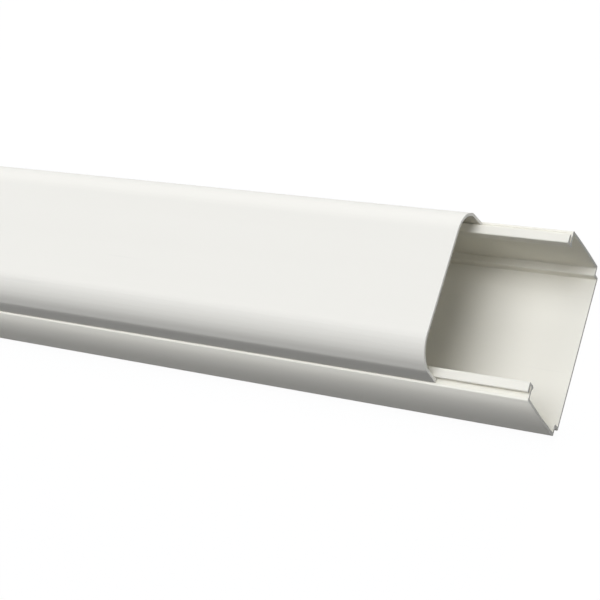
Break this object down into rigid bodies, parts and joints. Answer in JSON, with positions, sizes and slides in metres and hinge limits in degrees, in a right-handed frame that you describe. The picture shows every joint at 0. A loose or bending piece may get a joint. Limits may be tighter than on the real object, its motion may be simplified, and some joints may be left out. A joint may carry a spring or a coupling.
{
  "type": "cable trunking length with snap cover",
  "caption": "Straight length of surface cable trunking: a stepped-back wall channel with hooked lips and a crowned snap cover, slid back to show the cable space.",
  "frame": {"origin": "middle of the channel's length and width, on the flat back face that lies against the wall", "axes": "+X along the run towards the end where the cover stands back, +Y across the width, +Z away from the wall towards the cover"},
  "size_m": [2.0411, 0.08, 0.0645],
  "materials": {
    "channel_pvc": "satin extruded rigid PVC, cream white",
    "cover_pvc": "satin extruded rigid PVC, cream white"
  },
  "bodies": {
    "base": {"base_channel": "channel_pvc"},
    "cover": {"snap_cover": "cover_pvc"}
  },
  "joints": [
    {"name": "cover_slide", "type": "slide", "parent": "base", "child": "cover", "axis": [1, 0, 0], "range_m": [-0.9589, 0.0411]}
  ]
}
